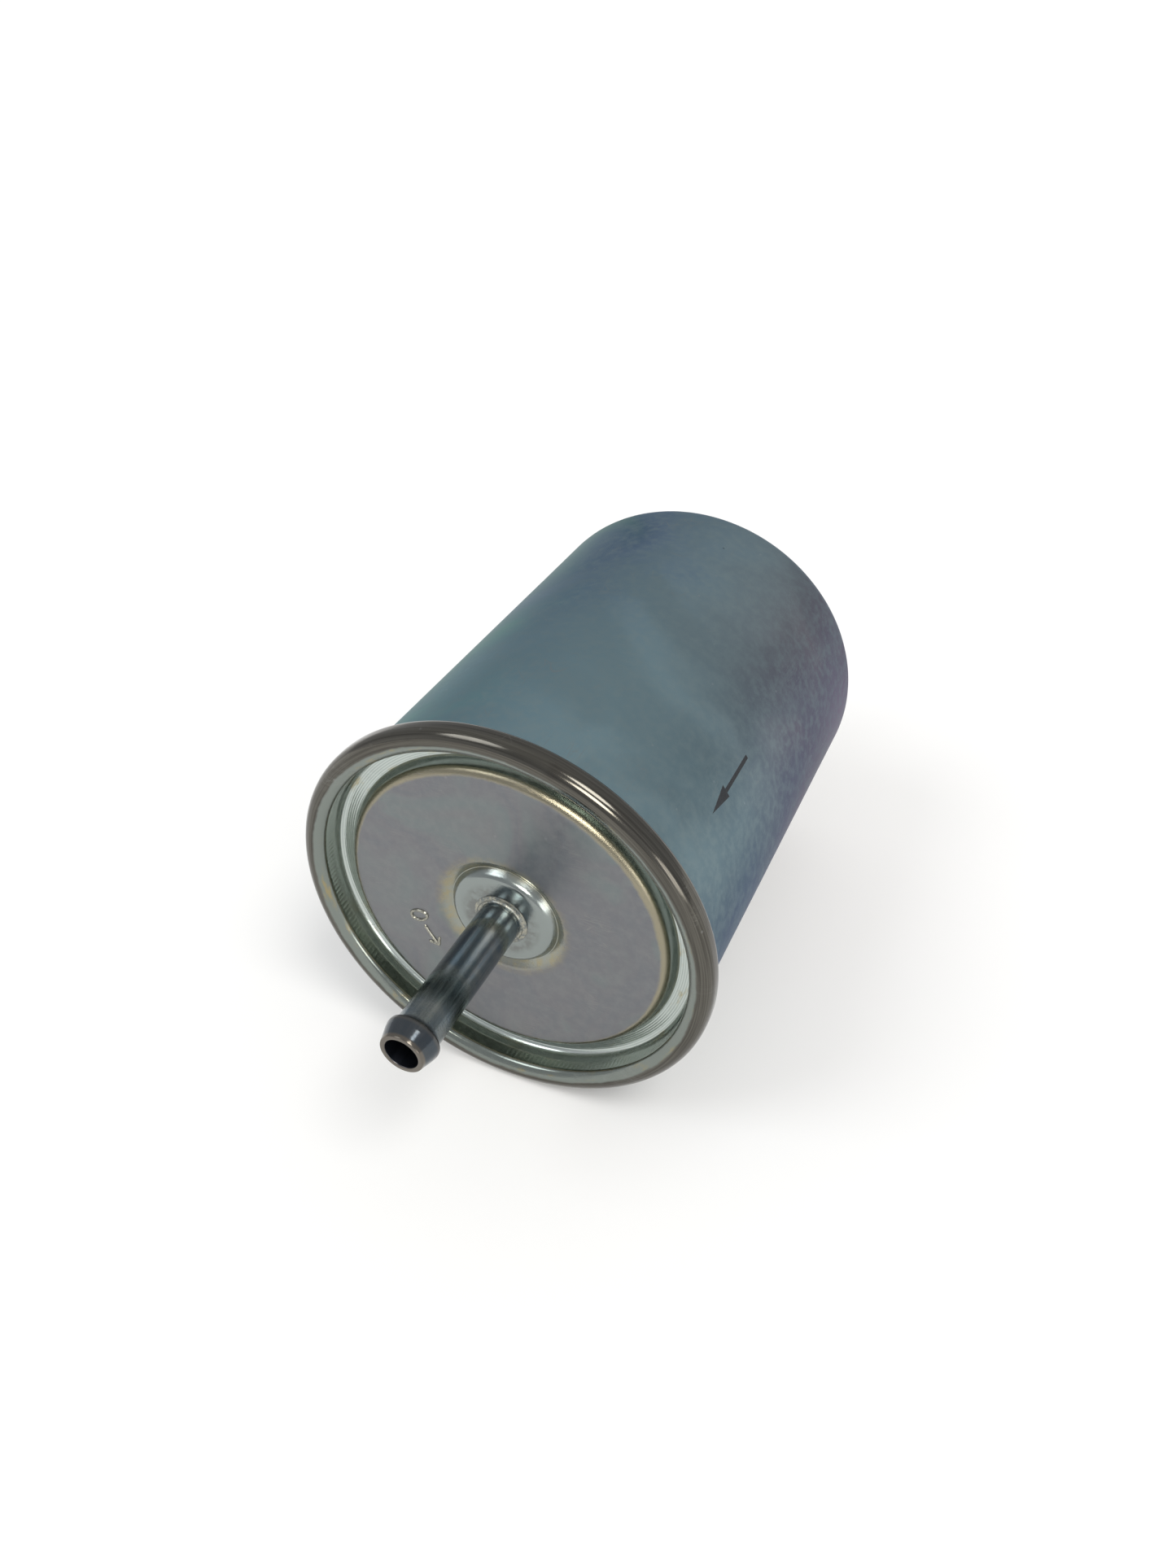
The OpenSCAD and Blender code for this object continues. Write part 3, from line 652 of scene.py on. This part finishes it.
canLeft, canRight = sheetFaces(
    [(neck["radius"], -47.0), (neck["radius"], can["farFace"]), (9.2, can["farFace"]), (10.3, -48.2),
     (12.0, can["farFace"]), (can["wallRadius"], can["farFace"]), (can["wallRadius"], 43.5),
     (can["neckedRadius"], 44.5), (can["neckedRadius"], can["hookTop"]), (can["hookRadius"], can["hookTop"]),
     (can["hookRadius"], 46.74)],
    [0, neck["bend"], 0.7, 0.6, 0.9, can["farBend"], 1, 1, 0.975, 0.975, 0], can["sheet"], can["bendSteps"])
canLoop = np.concatenate([splitLong(canLeft, 6.0), splitLong(canRight[::-1], 6.0)])


def canShape(r, h, a):
    # the drawn wall strays a few hundredths from round between its ends
    along = np.clip((43 - h) / 20, 0, 1) * np.clip((h + 44) / 12, 0, 1) * (r > 30)
    stray = 0.5 * np.sin(2 * a + 0.7) + 0.3 * np.sin(3 * a + h * 0.03) + 0.2 * np.sin(5 * a - h * 0.05)
    return r - can["warp"] * along * (1 + stray), h


canVerts, canFaces = turnedGrid(canLoop, can["segments"], canShape)
canPiece = meshPiece("canShell", canVerts, canFaces, canMaterial, "housing")
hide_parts("can_shell")
print("can", len(canFaces) * 2, "triangles")

coverPath = (
    [(neck["radius"], 44.6), (neck["radius"], cover["boss"]), (9.2, cover["boss"]), (10.3, cover["groove"]),
     (12.3, cover["panel"]), (30.65, cover["panel"]), (31.75, cover["channel"]),
     (cover["chuckRadius"], cover["channel"]), (cover["chuckRadius"], 48.817), (cover["rimWall"], 51.207),
     (cover["rimWall"], cover["tuck"]), (cover["hookRadius"], cover["tuck"]), (cover["hookRadius"], 47.6)],
    [0, neck["bend"], 1.4, 0.5, 1.2, 1.8, 1, 1.7, 0.8, 1.85, 0.95, 0.95, 0], cover["sheet"])
outerFace = max(sheetFaces(*coverPath, cover["bendSteps"]), key=lambda face: face[:, 1].max())
innerFace = min(sheetFaces(*coverPath, cover["hiddenSteps"]), key=lambda face: face[:, 1].max())
knurlRows = np.flatnonzero((np.abs(outerFace[:, 0] - cover["chuckFace"]) < 0.2)
                           & (outerFace[:, 1] < 48.6) & (outerFace[:, 1] > 44.6))
outerFace = np.concatenate([outerFace[:knurlRows[0] + 1],
                            splitLong(outerFace[knurlRows[0]:knurlRows[-1] + 1], 0.45)[1:-1],
                            outerFace[knurlRows[-1]:]])
coverLoop = np.concatenate([outerFace, innerFace[::-1]])
coverSegments = cover["teeth"] * cover["toothSides"]


def coverShape(r, h, a):
    # teeth: a rounded wave on the chuck wall's inner face, fading at the top and bottom
    onFace = (np.arange(len(coverLoop)) < len(outerFace))[:, None] & (np.abs(r - cover["chuckFace"]) < 0.35)
    fade = np.clip((h - cover["toothLow"]) / 0.5, 0, 1) * np.clip((cover["toothHigh"] - h) / 0.35, 0, 1)
    wave = 0.5 - 0.5 * np.cos(cover["teeth"] * a)
    r = r + cover["toothDepth"] * onFace * fade * wave
    # the rolled seam is very slightly uneven round its rim
    rim = np.clip((r - 37.5) / 1.0, 0, 1)
    return r - rim * 0.012 * (1 + np.sin(9 * a + 1.3) * 0.6 + np.sin(17 * a) * 0.4), h


coverVerts, coverFaces = turnedGrid(coverLoop, coverSegments, coverShape)
coverPiece = meshPiece("endCover", coverVerts, coverFaces, coverMaterial, "housing", 80)
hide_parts("end_cover")
print("cover", len(coverFaces) * 2, "triangles")


# outlet mark, pressed in low relief on the panel
mark = {"radius": 18.6, "ringAngle": 200, "ringWide": 2.3, "ringTall": 3.5, "arrowFrom": 207, "arrowTo": 222,
        "head": 1.5, "width": 0.62, "height": 0.36}


def onArc(angle, out):
    # a point of the panel at an angle round the axis and a distance out from the mark's own circle
    t = np.radians(angle)
    return np.stack([(mark["radius"] + out) * np.cos(t), (mark["radius"] + out) * np.sin(t)], -1)


k = np.linspace(0, 2 * math.pi, 41)
ringPath = onArc(mark["ringAngle"] + np.degrees(mark["ringWide"] / 2 * np.cos(k) / mark["radius"]),
                 mark["ringTall"] / 2 * np.sin(k))
shaftPath = onArc(np.linspace(mark["arrowFrom"], mark["arrowTo"], 24), np.zeros(24))
back = np.degrees(mark["head"] / mark["radius"])
barb = np.linspace(-1, 1, 25)
headPath = onArc(mark["arrowTo"] - np.abs(barb) * back, barb * mark["head"])
panelTop = cover["panel"] + cover["sheet"] / 2
parts = [ridge(path, mark["width"], mark["height"], panelTop) for path in (ringPath, shaftPath, headPath)]
counts = np.cumsum([0] + [len(v) for v, f in parts])
markVerts = np.concatenate([v for v, f in parts])
markFaces = np.concatenate([f + c for (v, f), c in zip(parts, counts)])
# the mark is polished, and its lighter, yellower base colour is a painted highlight on the raised strokes
markMaterial = makePlainMetal("polishedMarkPaintedShine", (0.42, 0.41, 0.34), (0.22, 0.22, 0.2), 2.2, 0.16, False)
meshPiece("outletMark", markVerts, markFaces, markMaterial, "housing", 60)
print("mark", len(markFaces))


def tubeLoop(inner, tip):
    # outline of the tube's wall from its inner end to the tapered tip, then back along the bore
    crest = tip - tube["beadLength"]
    r, bead, end = tube["radius"], tube["bead"], tube["tip"]
    corners = [(tube["bore"], inner), (r, inner), (r, crest - 0.85), (bead - 0.02, crest - 0.62), (bead, crest - 0.1),
               (bead - 0.22, crest + 0.85), (end + 0.16, tip - 0.75), (end - 0.02, tip - 0.02),
               (tube["bore"], tip - 0.02)]
    bends = [0.1, 0.1, 0.12, 0.18, 0.3, 0.5, 0.7, 0.22, 0.22]
    return roundedLoop(corners, bends, 7)


def placeTube(name, node, inner, tip, mirrored):
    loop = splitLong(tubeLoop(inner, tip), 4.0)
    if mirrored:
        loop = loop * np.array([1, -1])
    verts, faces = turnedGrid(loop, tube["segments"])
    piece = meshPiece(name, verts, faces, tubeMaterial, "housing", 60)
    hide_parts(node)
    return piece


placeTube("outletTube", "outlet_tube", 29.05, 80.4, False)
placeTube("inletTube", "inlet_tube", 46.6, 80.0, True)


def brazeLoop(top):
    # a concave fillet between the tube and the neck's bend, with a small lip on the tube
    mid = np.array([5.7, top - 1.3])
    t = np.radians(np.linspace(107, 158, 10))
    groove = mid + 1.67 * np.stack([np.cos(t), np.sin(t)], 1)
    lip = top + 0.85
    u = np.linspace(0, 1, 8)[:, None]
    start, end = np.array([[4.42, lip - 0.06]]), np.array([[5.0, top + 0.44]])
    pull = np.array([[4.52, top + 0.5]])
    face = (1 - u) ** 2 * start + 2 * u * (1 - u) * pull + u ** 2 * end
    return np.concatenate([[[4.02, groove[-1, 1]], [4.02, lip], [4.3, lip], [4.38, lip - 0.02]], face, groove])


for name, node, top, flip in (("outletBraze", "outlet_braze", 47.25, 1), ("inletBraze", "inlet_braze", 49.65, -1)):
    verts, faces = turnedGrid(brazeLoop(top) * np.array([1, flip]), 160,
                              lambda r, h, a: (r + 0.03 * np.sin(3 * a + 1) * (r > 4.2) * (r < 4.9), h))
    piece = meshPiece(name, verts, faces, brazeMaterial, "housing", 60)
    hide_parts(node)
print("tubes ready")


stage = {"floor": -0.0400, "size": 3.0, "floorColour": (0.90, 0.90, 0.90)}

floorMesh = bpy.data.meshes.new("floor")
half = stage["size"]
floorMesh.from_pydata([(-half, -half, stage["floor"]), (half, -half, stage["floor"]),
                       (half, half, stage["floor"]), (-half, half, stage["floor"])], [], [(0, 1, 2, 3)])
floor = bpy.data.objects.new("floor", floorMesh)
bpy.context.scene.collection.objects.link(floor)
floorMaterial = bpy.data.materials.new("paleFloor")
floorMaterial.use_nodes = True
tree = floorMaterial.node_tree
floorShader = tree.nodes["Principled BSDF"]
setShader(floorShader, Base_Color=(*stage["floorColour"], 1), Roughness=0.9, Specular_IOR_Level=0.1)
floorMesh.materials.append(floorMaterial)

scene = bpy.context.scene
scene.view_settings.view_transform = "Standard"
world = bpy.data.worlds.new("studio")
scene.world = world
world.use_nodes = True
wt = world.node_tree
ww = Wire(wt)
direction = wt.nodes.new("ShaderNodeTexCoord")
split = wt.nodes.new("ShaderNodeSeparateXYZ")
wt.links.new(direction.outputs["Generated"], split.inputs[0])
sky = ww.stops(ww.math("MULTIPLY_ADD", split.outputs[2], 0.5, 0.5),
               [(0.45, (0.66, 0.66, 0.67)), (0.6, (0.56, 0.57, 0.59)), (0.8, (0.53, 0.54, 0.56)),
                (1.0, (0.60, 0.60, 0.60))])
wt.links.new(sky, wt.nodes["Background"].inputs["Color"])


def softSun(name, toward, spread, radiance, colour=(1, 1, 1)):
    # a distant disc of light: its strength is the radiance times the disc's solid angle
    data = bpy.data.lights.new(name, "SUN")
    data.angle = math.radians(spread)
    data.energy = radiance * 2 * math.pi * (1 - math.cos(data.angle / 2))
    data.color = colour
    lamp = bpy.data.objects.new(name, data)
    lamp.rotation_mode = "QUATERNION"
    lamp.rotation_quaternion = Vector(toward).normalized().to_track_quat("Z", "Y")
    bpy.context.scene.collection.objects.link(lamp)


softSun("overheadLight", (0.44, -0.22, 0.87), 23, 7.5, (1.0, 0.98, 0.94))
softSun("frontLight", (0.32, -0.74, 0.59), 20, 12.0, (1.0, 0.96, 0.88))
softSun("leftLight", (-0.50, -0.45, 0.74), 26, 3.6, (0.96, 0.98, 1.0))
softSun("rightLight", (0.86, -0.48, 0.12), 24, 4.0, (1.0, 0.97, 0.92))

view = {"lens": 27.03, "place": (0.07615, -0.17620, 0.14509),
        "right": (0.9082, 0.4185, 0.0), "up": (-0.2560, 0.5556, 0.7910)}
cameraData = bpy.data.cameras.new("camera")
cameraData.lens, cameraData.sensor_width, cameraData.sensor_fit = view["lens"], 36, "AUTO"
cameraData.clip_start, cameraData.clip_end = 0.01, 10
camera = bpy.data.objects.new("camera", cameraData)
right, up = Vector(view["right"]).normalized(), Vector(view["up"]).normalized()
backward = right.cross(up).normalized()
turned = Matrix((right, backward.cross(right), backward)).transposed().to_4x4()
camera.matrix_world = Matrix.Translation(view["place"]) @ turned
scene.collection.objects.link(camera)
scene.camera = camera
print("stage ready")
